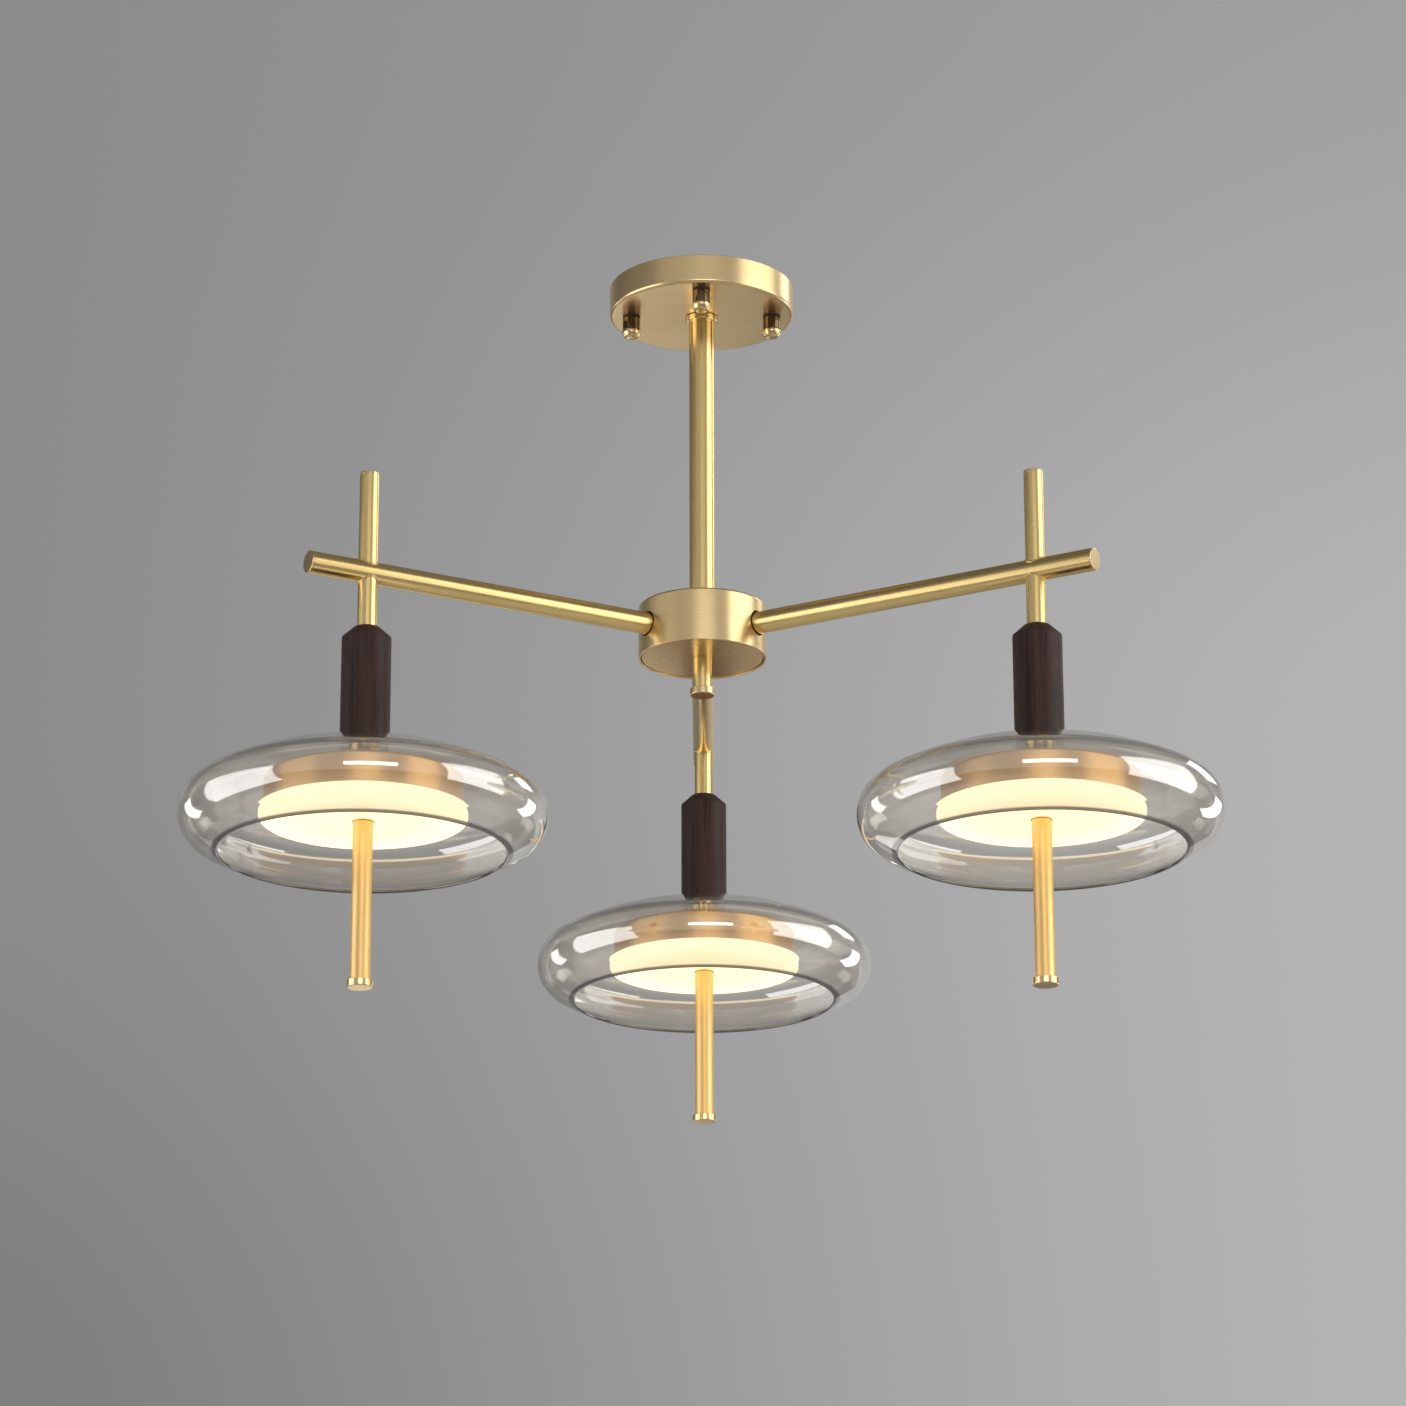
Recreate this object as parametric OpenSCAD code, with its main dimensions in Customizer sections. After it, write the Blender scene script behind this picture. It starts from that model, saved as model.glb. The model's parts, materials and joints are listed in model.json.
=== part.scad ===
// Three-arm rod-hung chandelier with blown-glass shades.
// Z = 0 is the ceiling plane, everything hangs below it, and the back arm points along +Y.

/* [Overall] */
// Drop from the ceiling to the arm axis
arm_drop = 232; // [190:1:500]
// Radius of the circle that the three lamp rods stand on
lamp_circle_r = 232.5; // [190:0.5:340]
// Length of each arm beyond its lamp rod
arm_overhang = 40; // [15:1:80]

/* [Ceiling canopy] */
// Outside diameter of the canopy
canopy_d = 117; // [112:1:180]
// Depth of the canopy
canopy_h = 18.75; // [18:0.25:40]
// Sheet thickness of the canopy
canopy_wall = 1.2; // [0.8:0.1:1.6]
// Radius of the canopy's lower edge
canopy_edge_r = 2; // [1.7:0.1:5]
// Pitch circle of the four studs and cap nuts
stud_pcd = 89.5; // [84:0.5:96]
// Stud diameter
stud_d = 5; // [4:0.5:6]
// Diameter of the cap nuts' plain part
cap_nut_d = 11.2; // [10:0.1:14]
// Height of the cap nuts' plain part
cap_nut_h = 8.5; // [6:0.5:12]
// Bulge of the cap nuts' domed end past the plain part
cap_nut_bead = 0.3; // [0:0.1:1]
// Height of the cap nuts' dome
cap_nut_dome = 5; // [3:0.5:8]
// Thickness of the fibre washers under the cap nuts
cap_washer_t = 0.8; // [0.5:0.1:1.5]

/* [Ceiling bracket] */
// Length of each bar of the cross bracket
bracket_l = 104; // [98:1:110]
// Width of each bar
bracket_w = 24; // [20:1:30]
// Plate thickness
bracket_t = 2; // [1.5:0.1:3]
// Distance between the two ceiling screw holes
ceiling_screw_span = 60; // [56:1:66]
// Diameter of the ceiling screw holes
ceiling_hole_d = 5.5; // [4.5:0.1:6.5]
// Diameter of the wire opening in the middle
wire_hole_d = 18; // [12:1:19]

/* [Stem and swivel] */
// Outside diameter of the stem
stem_d = 16; // [13:0.5:20]
// Wall of the stem tube
stem_wall = 1.5; // [1:0.1:2]
// How far the collar under the canopy stands out past the stem
collar_rim = 2; // [1.5:0.1:5]
// Height of that collar
collar_h = 3.5; // [3.2:0.1:8]
// Gap between the collar and the canopy, so that the stem can turn
collar_gap = 0.3; // [0.2:0.1:1]
// Radial running clearance of the stem in its bushing
swivel_clearance = 0.05; // [0.02:0.01:0.1]
// Diameter of the stop pin that limits the swivel
stop_pin_d = 3; // [2:0.5:4]
// Width of the lug that meets the stop pin
stop_lug_w = 4; // [3:0.5:6]

/* [Hub] */
// Hub diameter
hub_d = 80; // [72:1:120]
// Hub height
hub_h = 34; // [30:0.5:50]
// Hub sheet thickness
hub_wall = 1.5; // [1:0.1:2]
// Radius of the hub's upper edge
hub_edge_r = 2; // [2:0.1:4]
// Radial clearance round the cover disc
cover_clearance = 0.5; // [0.3:0.1:1]
// How deep the cover disc sits inside the rim
cover_inset = 0.7; // [0.3:0.1:2]
// Cover thickness
cover_t = 1.5; // [1:0.1:3]
// Clearance of the side holes round the arms
arm_hole_clearance = 1; // [0.5:0.1:1.5]
// Outside diameter of the ring block that holds the arms
block_d = 48; // [44:1:60]
// Inside diameter of the ring block
block_bore_d = 30; // [26:1:32]
// Thickness of the block's top web
block_web = 5; // [3:0.5:6]
// Visible length of the finial rod, below the cover
finial_l = 20.2; // [14:0.1:60]

/* [Arms and lamp rods] */
// Outside diameter of the arms
arm_d = 14; // [13.5:0.5:17]
// Wall of the arm tubes
arm_wall = 1.5; // [1:0.1:2]
// Diameter of the lamp rods, finial and lower rods
rod_d = 12; // [10:0.5:13.5]
// Wall of the lamp rods
rod_wall = 1; // [0.6:0.1:1.2]
// Length of each lamp rod above the arm axis
rod_above = 63.75; // [20:0.25:120]
// Thickness of the end discs on arms and rods
plug_t = 1.5; // [1:0.1:3]
// Chamfer on the end discs
plug_chamfer = 0.5; // [0.2:0.1:0.9]
// Length of the end discs' spigots
plug_spigot = 6; // [3:0.5:10]
// Diameter of the end caps under the lower rods and the finial
end_cap_d = 15.6; // [14:0.1:20]
// Height of the end caps
end_cap_h = 4.5; // [3:0.1:8]

/* [Walnut handles] */
// Handle diameter
handle_d = 30; // [28:0.5:45]
// Handle length
handle_l = 75; // [50:0.5:120]
// Distance from the arm axis down to the top of the handle
handle_drop = 35.5; // [20:0.5:80]
// Width of the bevel round the top of the handle
handle_bevel_w = 7; // [4:0.1:7.5]
// Height of that bevel
handle_bevel_h = 6.5; // [3:0.1:12]
// Depth of the socket for the lamp rod
handle_socket = 20; // [14:0.5:30]

/* [Glass shades] */
// Shade diameter
shade_d = 220; // [180:1:300]
// Height of the crown above the widest line
shade_crown = 42; // [36:0.5:55]
// Radius of the shade's round outer bead
shade_bead_r = 20; // [14:0.5:24]
// Glass thickness
glass_wall = 2; // [1.5:0.1:4]
// Radius of the mouth
mouth_r = 86.8; // [72:0.1:92]
// Radius of the flat seat ground on the crown
seat_r = 15; // [14.5:0.1:18]
// Thickness of the silicone gaskets
gasket_t = 1; // [0.5:0.1:2]

/* [LED heads] */
// Pan diameter
pan_d = 119; // [96:0.5:124]
// Pan height
pan_h = 21.5; // [17:0.5:30]
// Pan sheet thickness
pan_wall = 1.2; // [0.8:0.1:1.6]
// Radius of the pan's upper edge
pan_edge_r = 2; // [1.7:0.1:4]
// Clear height between the glass and the top of the pan
pan_gap = 15.5; // [9:0.1:18]
// Distance that the diffuser stands out past the pan
diffuser_lip = 2.8; // [1:0.1:4]
// Thickness of the diffuser disc
diffuser_t = 6; // [5:0.5:10]
// Radius of the diffuser's lower edge
diffuser_edge_r = 4.5; // [2:0.1:4.8]
// Outside diameter of the LED boards
board_d = 108; // [80:1:112]
// LED board thickness
board_t = 1.6; // [1:0.1:2]
// Number of LEDs on each board
led_count = 12; // [6:1:24]
// Length of the lower rods
lower_rod_l = 96.8; // [40:0.1:160]

/* [Fasteners and wires] */
// Diameter of the threaded nipples
nipple_d = 10; // [8:0.5:10]
// Wall of the nipples
nipple_wall = 1.5; // [1:0.1:1.8]
// Clearance of plain holes round nipples and studs
hole_clearance = 0.25; // [0.1:0.05:0.4]
// Across-flats width of the nipple nuts
nut_flats = 17; // [15:0.5:19]
// Thickness of the nipple nuts
nut_t = 4; // [3:0.5:5]
// Diameter of the grub screws in the arm block
grub_d = 4; // [3:0.5:5]
// Wire diameter
wire_d = 1.6; // [1:0.1:1.8]

/* [Hidden] */

$fn = 96;
eps = 0.1;

// Directions of the arms
left_az = 210;
right_az = 330;
back_az = 90;
lamp_azimuths = [left_az, right_az, back_az];

// Colours
brass = "#c9a96a";
dark_brass = "#8d6f3c";
steel = "silver";
walnut = "#4a3029";
opal = "#fff4d2";
smoked = [0.55, 0.52, 0.48, 0.45];
rubber = "#2b2b2b";

// Radii
canopy_r = canopy_d / 2;
stud_r = stud_d / 2;
stem_r = stem_d / 2;
stem_bore_r = stem_r - stem_wall;
collar_r = stem_r + collar_rim;
hub_r = hub_d / 2;
arm_r = arm_d / 2;
arm_bore_r = arm_r - arm_wall;
rod_r = rod_d / 2;
rod_bore_r = rod_r - rod_wall;
handle_r = handle_d / 2;
nipple_r = min(nipple_d / 2, rod_bore_r);
nipple_bore_r = nipple_r - nipple_wall;
nipple_hole_r = nipple_r + hole_clearance;
pan_r = pan_d / 2;
diffuser_r = pan_r + diffuser_lip;
block_r = block_d / 2;
block_bore_r = block_bore_d / 2;
nut_corner_r = nut_flats / sqrt(3);

// Heights in the canopy, from the canopy floor up
canopy_face = -canopy_h;
canopy_floor = canopy_face + canopy_wall;
inner_plate_t = 2;
inner_plate_rim = 16;
inner_plate_r = stem_r + inner_plate_rim;
plate_top = canopy_floor + inner_plate_t;
bush_wall = 2;
bush_r = stem_r + bush_wall;
bush_flange_w = 3;
bush_flange_r = bush_r + bush_flange_w;
bush_flange_t = 1.2;
stem_nut_gap = 0.05;
stem_nut_h = 4;
stem_nut_wall = 3;
stem_nut_flats = stem_d + 2 * stem_nut_wall;
stem_nut_low = plate_top + bush_flange_t + stem_nut_gap;
stem_nut_top = stem_nut_low + stem_nut_h;
stem_above_nut = 2;
stem_top = stem_nut_top + stem_above_nut;
stop_clearance = 2;
stop_r = bush_flange_r + stop_clearance + stop_pin_d / 2;
lock_nut_t = 4;
lock_nut_flats = 8;
collar_top = canopy_face - collar_gap;
collar_grub_d = 2.5;
ground_screw_r = 2;

// Parts on the canopy floor
pad_t = 0.8;
floor_gap = 0.5;
driver_size = [16, 32, 12];
terminal_size = [14, 30, 10];
part_start_r = inner_plate_r + floor_gap;
driver_az = 225;
terminal_az = 45;

// Heights in the hub
hub_top = -arm_drop + hub_h / 2;
hub_low = hub_top - hub_h;
block_top = hub_top - hub_wall;
web_low = block_top - block_web;
cover_low = hub_low + cover_inset;
cover_top = cover_low + cover_t;
hub_washer_t = 1.5;
hub_washer_low = web_low - hub_washer_t;
stem_plug_l = 14;
nipple_in_plug = 12;
nipple_in_finial = 9;
thread_relief = 1;
rod_window_r = 3.5;

// Wire pairs: half the spacing of a pair, the lane that keeps three pairs apart, and their exits
wire_gap = 0.1;
wire_pair = (wire_d + wire_gap) / 2;
wire_lane = wire_pair / tan(30);
wire_exit_r = wire_pair + wire_d / 2 + 3 * wire_gap;

// Arm ends
arm_tip = lamp_circle_r + arm_overhang;
arm_tube_end = arm_tip - plug_t;

// Heights of the lamps, from the arm down
rod_top = -arm_drop + rod_above;
handle_top = -arm_drop - handle_drop;
handle_low = handle_top - handle_l;
rod_low = handle_top - handle_socket;
nipple_in_rod = 12;
nipple_top = rod_low + nipple_in_rod;
shade_top = handle_low - gasket_t;
bead_c = shade_d / 2 - shade_bead_r;
crown_r = (bead_c * bead_c + shade_crown * shade_crown - shade_bead_r * shade_bead_r)
    / (2 * (shade_crown - shade_bead_r));
crown_c = crown_r - shade_crown;
bead_turn = atan2(crown_c, bead_c);
mouth_on_belly = mouth_r < crown_r * cos(bead_turn);
mouth_turn = mouth_on_belly ? acos(mouth_r / crown_r) : acos((mouth_r - bead_c) / shade_bead_r);
seat_h = sqrt(crown_r * crown_r - seat_r * seat_r) - crown_c;
seat_in_h = sqrt(pow(crown_r - glass_wall, 2) - seat_r * seat_r) - crown_c;
equator = shade_top - seat_h;
glass_inner_top = equator + seat_in_h;
spacer_flange_r = 9;
spacer_flange_t = 3;
spacer_top = glass_inner_top - gasket_t;
pan_top = glass_inner_top - pan_gap;
pan_ceiling = pan_top - pan_wall;
pan_low = pan_top - pan_h;
diffuser_low = pan_low - diffuser_t;
diffuser_ring_h = 5;
diffuser_ring_w = 2;
diffuser_ring_gap = 0.2;
board_low = pan_ceiling - board_t;
board_nut_gap = 2;
board_hole_r = nut_corner_r + board_nut_gap;
led_size = [3.5, 2.8, 0.8];
led_edge = 14;
led_ring_r = board_d / 2 - led_edge;
ferrule_t = 0.8;
ferrule_lip = 0.5;
lower_rod_top = diffuser_low - ferrule_t;
lower_rod_low = lower_rod_top - lower_rod_l;
nipple_in_lower_rod = 9;
nipple_low = lower_rod_top - nipple_in_lower_rod;
cap_spigot_r = 3;
cap_spigot_l = 5;
wire_drop = 5;
pan_exit = pan_ceiling - nut_t - wire_drop;
seat_margin = 3;
gasket_r = seat_r - seat_margin;

// A run of points on an arc about [cx, cy]
function arc(cx, cy, r, from, to, steps) =
    [for (i = [0:steps]) let (a = from + (to - from) * i / steps) [cx + r * cos(a), cy + r * sin(a)]];

// Section of a cup open at the bottom (rim at z = low), with a round upper edge
function cup_section(r, top, low, wall, edge_r) = concat(
    [[0, top]],
    arc(r - edge_r, top - edge_r, edge_r, 90, 0, 8),
    [[r, low], [r - wall, low]],
    arc(r - edge_r, top - edge_r, edge_r - wall, 0, 90, 8),
    [[0, top - wall]]
);

// A solid cylinder between two heights
module column(r, low, high) {
    translate([0, 0, low]) cylinder(r = r, h = high - low);
}

// A ring between two heights
module ring(r, bore_r, low, high) {
    difference() {
        column(r, low, high);
        column(bore_r, low - eps, high + eps);
    }
}

// A hexagonal nut between two heights
module hex_nut(flats, bore_r, low, high) {
    difference() {
        translate([0, 0, low]) cylinder(r = flats / sqrt(3), h = high - low, $fn = 6);
        column(bore_r, low - eps, high + eps);
    }
}

// Places its children at the foot of one lamp, with X pointing away from the hub
module at_lamp(az) {
    rotate([0, 0, az]) translate([lamp_circle_r, 0, 0]) children();
}

// Places its children at all three lamps
module at_lamps() {
    for (az = lamp_azimuths) at_lamp(az) children();
}

// Places its children at the four studs
module at_studs() {
    for (i = [0:3]) rotate([0, 0, 90 * i]) translate([stud_pcd / 2, 0, 0]) children();
}

// An end disc with a chamfered face towards +Z and a spigot below z = 0
module end_plug(r, bore_r) {
    column(bore_r, -plug_spigot, 0);
    column(r, 0, plug_t - plug_chamfer);
    translate([0, 0, plug_t - plug_chamfer]) cylinder(r1 = r, r2 = r - plug_chamfer, h = plug_chamfer);
}

// An end cap whose upper face is at z = 0, with a spigot above it
module end_cap() {
    cap_edge = 0.6;
    column(cap_spigot_r, 0, cap_spigot_l);
    column(end_cap_d / 2, cap_edge - end_cap_h, 0);
    translate([0, 0, -end_cap_h])
        cylinder(r1 = end_cap_d / 2 - cap_edge, r2 = end_cap_d / 2, h = cap_edge);
}

// A solid rod with a threaded bore at the top and a spigot hole at the bottom
module capped_rod(low, high, thread_l) {
    difference() {
        column(rod_r, low, high);
        column(nipple_r, high - thread_l - thread_relief, high + eps);
        column(cap_spigot_r, low - eps, low + cap_spigot_l);
    }
}

// One wire swept along a path of [x, z] points at a fixed y
module wire(path, y) {
    sides = 8;
    last = len(path) - 1;
    function side_of(i) = let (d = path[i + 1] - path[i]) [-d.y, d.x] / norm(d);
    function mitre(i) =
        let (a = side_of(max(i - 1, 0)), b = side_of(min(i, last - 1))) (a + b) / (1 + a * b);
    points = [
        for (i = [0:last]) for (k = [0:sides - 1])
            let (t = 360 * k / sides, m = mitre(i) * sin(t) * wire_d / 2)
                [path[i].x + m.x, y + cos(t) * wire_d / 2, path[i].y + m.y]
    ];
    walls = [
        for (i = [0:last - 1]) for (k = [0:sides - 1])
            let (n = (k + 1) % sides, a = i * sides, b = a + sides) [a + k, b + k, b + n, a + n]
    ];
    first_face = [for (k = [0:sides - 1]) k];
    last_face = [for (k = [sides - 1:-1:0]) last * sides + k];
    polyhedron(points = points, faces = concat([first_face], walls, [last_face]));
}

// Ceiling bracket: two crossed bars with stud, screw and wire holes
module ceiling_bracket() {
    color(steel) difference() {
        for (a = [0, 90]) rotate([0, 0, a])
            translate([-bracket_l / 2, -bracket_w / 2, -bracket_t]) cube([bracket_l, bracket_w, bracket_t]);
        column(wire_hole_d / 2, -bracket_t - eps, eps);
        at_studs() column(stud_r, -bracket_t - eps, eps);
        for (side = [-1, 1]) translate([side * ceiling_screw_span / 2, 0, 0])
            column(ceiling_hole_d / 2, -bracket_t - eps, eps);
        at_ground_screw() column(ground_screw_r, -bracket_t - eps, eps);
    }
}

module at_ground_screw() {
    translate([0, -ceiling_screw_span / 2, 0]) children();
}

module ground_screw() {
    head_r = 3.6;
    head_h = 2.4;
    color("seagreen") at_ground_screw() {
        column(ground_screw_r, -bracket_t, 0);
        column(head_r, -bracket_t - head_h, -bracket_t);
    }
}

module canopy_studs() {
    color(steel) at_studs() column(stud_r, canopy_face - cap_washer_t - cap_nut_h, 0);
}

module stud_lock_nuts() {
    color(steel) at_studs() hex_nut(lock_nut_flats, stud_r, -bracket_t - lock_nut_t, -bracket_t);
}

// Canopy: a shallow cup, open against the ceiling
module canopy() {
    color(brass) difference() {
        mirror([0, 0, 1]) rotate_extrude()
            polygon(cup_section(canopy_r, canopy_h, 0, canopy_wall, canopy_edge_r));
        column(stem_r + collar_gap, canopy_face - eps, canopy_floor + eps);
        at_studs() column(stud_r + hole_clearance, canopy_face - eps, canopy_floor + eps);
    }
}

module canopy_washers() {
    color(rubber) at_studs()
        ring(cap_nut_d / 2, stud_r + hole_clearance, canopy_face - cap_washer_t, canopy_face);
}

// Cap nuts: plain round part, then a slightly fuller domed end
module canopy_cap_nuts() {
    nut_top = canopy_face - cap_washer_t;
    nut_low = nut_top - cap_nut_h;
    nut_r = cap_nut_d / 2;
    dome_r = nut_r + cap_nut_bead;
    rim = 1;
    dome = [for (a = [0:10:90]) [dome_r * cos(a), nut_low - rim - (cap_nut_dome - rim) * sin(a)]];
    plain = [[0, nut_top], [nut_r, nut_top], [nut_r, nut_low], [dome_r, nut_low]];
    color(brass) at_studs() difference() {
        rotate_extrude() polygon(concat(plain, dome));
        column(stud_r, nut_low, nut_top + eps);
    }
}

module canopy_inner_plate() {
    color(steel) difference() {
        column(inner_plate_r, canopy_floor, plate_top);
        column(bush_r, canopy_floor - eps, plate_top + eps);
        translate([0, stop_r, 0]) column(stop_pin_d / 2, canopy_floor - eps, plate_top + eps);
    }
}

module swivel_bushing() {
    color("ivory") difference() {
        union() {
            column(bush_r, canopy_floor, plate_top);
            column(bush_flange_r, plate_top, plate_top + bush_flange_t);
        }
        column(stem_r + swivel_clearance, canopy_floor - eps, plate_top + bush_flange_t + eps);
    }
}

module stop_pin() {
    color(steel) translate([0, stop_r, 0]) column(stop_pin_d / 2, canopy_floor, stem_nut_top);
}

// Places a box of the given size on the canopy floor, at one direction and lifted
module floor_box(size, az, lift) {
    rotate([0, 0, az]) translate([part_start_r, -size.y / 2, canopy_floor + lift]) cube(size);
}

module led_driver() {
    color("white") floor_box(driver_size, driver_az, pad_t);
}

module terminal_block() {
    screw_r = 1.5;
    screw_depth = 2;
    screw_pitch = 9.4;
    top = canopy_floor + pad_t + terminal_size.z;
    color("whitesmoke") difference() {
        floor_box(terminal_size, terminal_az, pad_t);
        for (i = [-1:1]) rotate([0, 0, terminal_az])
            translate([part_start_r + terminal_size.x / 2, i * screw_pitch, 0])
                column(screw_r, top - screw_depth, top + eps);
    }
}

module mounting_pads() {
    color("gray") {
        floor_box([driver_size.x, driver_size.y, pad_t], driver_az, 0);
        floor_box([terminal_size.x, terminal_size.y, pad_t], terminal_az, 0);
    }
}

// Feed from the terminal block to the driver, and from the driver to the stem
module canopy_wires() {
    feed_side = 5;
    feed_y = stem_r + feed_side;
    feed_drop = 1;
    feed_z = canopy_floor + pad_t + terminal_size.z - feed_drop;
    arch_rise = 1.5;
    arch_z = stem_top + arch_rise;
    color("tomato") rotate([0, 0, driver_az]) {
        for (side = [-1, 1])
            wire([[-part_start_r, feed_z], [part_start_r, feed_z]], side * feed_y);
        for (side = [-1, 1])
            wire([[part_start_r, arch_z], [wire_lane, arch_z], [wire_lane, stem_top + floor_gap]],
                side * wire_pair);
    }
}

// Stem: the tube that carries the hub and turns in the bushing
module stem() {
    color(brass) ring(stem_r, stem_bore_r, hub_top, stem_top);
}

// Nut on the top of the stem, with the lug that meets the stop pin
module stem_nut() {
    lug_out = stop_r + stop_pin_d / 2;
    color(steel) difference() {
        union() {
            translate([0, 0, stem_nut_low]) cylinder(r = stem_nut_flats / sqrt(3), h = stem_nut_h, $fn = 6);
            translate([-stop_lug_w / 2, -lug_out, stem_nut_low]) cube([stop_lug_w, lug_out, stem_nut_h]);
        }
        column(stem_r, stem_nut_low - eps, stem_nut_top + eps);
    }
}

module stem_collar() {
    collar_low = collar_top - collar_h;
    edge = 0.4;
    color(brass) difference() {
        union() {
            column(collar_r, collar_low + edge, collar_top);
            translate([0, 0, collar_low]) cylinder(r1 = collar_r - edge, r2 = collar_r, h = edge);
        }
        column(stem_r, collar_low - eps, collar_top + eps);
        collar_grub(stem_r - eps, collar_r + eps);
    }
}

// The collar's grub screw, between two distances from the stem's axis
module collar_grub(from, to) {
    translate([0, 0, collar_top - collar_h / 2]) rotate([-90, 0, 0]) column(collar_grub_d / 2, from, to);
}

module collar_grub_screw() {
    color(steel) difference() {
        collar_grub(stem_r - eps, collar_r - eps);
        column(stem_r, collar_top - collar_h, collar_top);
    }
}

module stem_plug() {
    color(brass) ring(stem_bore_r, nipple_r, hub_top, hub_top + stem_plug_l);
}

// Threaded nipple from the stem to the finial, with one wire hole for each arm
module centre_nipple() {
    low = cover_low - nipple_in_finial;
    high = hub_top + nipple_in_plug;
    color(dark_brass) difference() {
        ring(nipple_r, nipple_bore_r, low, high);
        for (az = lamp_azimuths) rotate([0, 0, az]) translate([0, 0, -arm_drop]) rotate([0, 90, 0])
            column(wire_exit_r, 0, nipple_r + eps);
    }
}

// Hub shell: a cup open at the bottom, with a clearance hole round each arm
module hub_shell() {
    color(brass) difference() {
        rotate_extrude() polygon(cup_section(hub_r, hub_top, hub_low, hub_wall, hub_edge_r));
        column(nipple_hole_r, block_top - eps, hub_top + eps);
        for (az = lamp_azimuths)
            along_arm(az) column(arm_r + arm_hole_clearance, block_r + eps, hub_r + eps);
    }
}

// Turns its children so that their Z runs out along one arm
module along_arm(az) {
    rotate([0, 0, az]) translate([0, 0, -arm_drop]) rotate([0, 90, 0]) children();
}

// Ring block that holds the inner ends of the arms
module arm_block() {
    color(dark_brass) difference() {
        column(block_r, cover_top, block_top);
        column(block_bore_r, cover_top - eps, web_low);
        column(nipple_hole_r, web_low - eps, block_top + eps);
        for (az = lamp_azimuths) {
            along_arm(az) column(arm_r, 0, block_r + eps);
            rotate([0, 0, az]) translate([(block_r + block_bore_r) / 2, 0, 0])
                column(grub_d / 2, cover_top - eps, -arm_drop);
        }
    }
}

module arm_grub_screws() {
    grub_low = -arm_drop - arm_r - grub_d;
    color(steel) difference() {
        for (az = lamp_azimuths) rotate([0, 0, az]) translate([(block_r + block_bore_r) / 2, 0, 0])
            column(grub_d / 2, grub_low, -arm_drop);
        for (az = lamp_azimuths) along_arm(az) column(arm_r, 0, block_r + eps);
    }
}

module hub_lock_washer() {
    color(steel) ring(nut_corner_r, nipple_r, hub_washer_low, web_low);
}

module hub_lock_nut() {
    color(steel) hex_nut(nut_flats, nipple_r, hub_washer_low - nut_t, hub_washer_low);
}

module hub_cover() {
    cover_r = hub_r - hub_wall - cover_clearance;
    edge = 0.4;
    color(brass) difference() {
        union() {
            column(cover_r, cover_low + edge, cover_top);
            translate([0, 0, cover_low]) cylinder(r1 = cover_r - edge, r2 = cover_r, h = edge);
        }
        column(nipple_hole_r, cover_low - eps, cover_top + eps);
    }
}

module finial_rod() {
    color(brass) capped_rod(cover_low - finial_l, cover_low, nipple_in_finial);
}

module finial_cap() {
    color(brass) translate([0, 0, cover_low - finial_l]) end_cap();
}

// Arm tube, crossed by the hole for its lamp rod
module arm(az) {
    color(brass) difference() {
        along_arm(az) ring(arm_r, arm_bore_r, block_bore_r, arm_tube_end);
        at_lamp(az) column(rod_r, -arm_drop - arm_d, -arm_drop + arm_d);
    }
}

module arm_end_plugs() {
    color(brass) for (az = lamp_azimuths)
        along_arm(az) translate([0, 0, arm_tube_end]) end_plug(arm_r, arm_bore_r);
}

// Lamp rod: a tube with a window towards the hub for the wires
module lamp_rod(az) {
    color(brass) at_lamp(az) difference() {
        ring(rod_r, rod_bore_r, rod_low, rod_top - plug_t);
        translate([0, 0, -arm_drop]) rotate([0, -90, 0]) column(rod_window_r, 0, rod_r + eps);
    }
}

module rod_top_plugs() {
    color(brass) at_lamps() translate([0, 0, rod_top - plug_t]) end_plug(rod_r, rod_bore_r);
}

// Turned handle with a bevelled top, a socket for the rod and a bore for the nipple
module handle(az) {
    foot = 0.5;
    color(walnut) at_lamp(az) difference() {
        union() {
            translate([0, 0, handle_low]) cylinder(r1 = handle_r - foot, r2 = handle_r, h = foot);
            column(handle_r, handle_low + foot, handle_top - handle_bevel_h);
            translate([0, 0, handle_top - handle_bevel_h])
                cylinder(r1 = handle_r, r2 = handle_r - handle_bevel_w, h = handle_bevel_h);
        }
        column(rod_r, rod_low, handle_top + eps);
        column(nipple_hole_r, handle_low - eps, rod_low + eps);
    }
}

// Nipples that tie handle, shade, pan and lower rod together
module handle_nipples() {
    color(dark_brass) at_lamps() difference() {
        ring(nipple_r, nipple_bore_r, nipple_low, nipple_top);
        translate([0, 0, pan_exit]) rotate([0, -90, 0]) column(wire_exit_r, 0, nipple_r + eps);
    }
}

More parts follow.
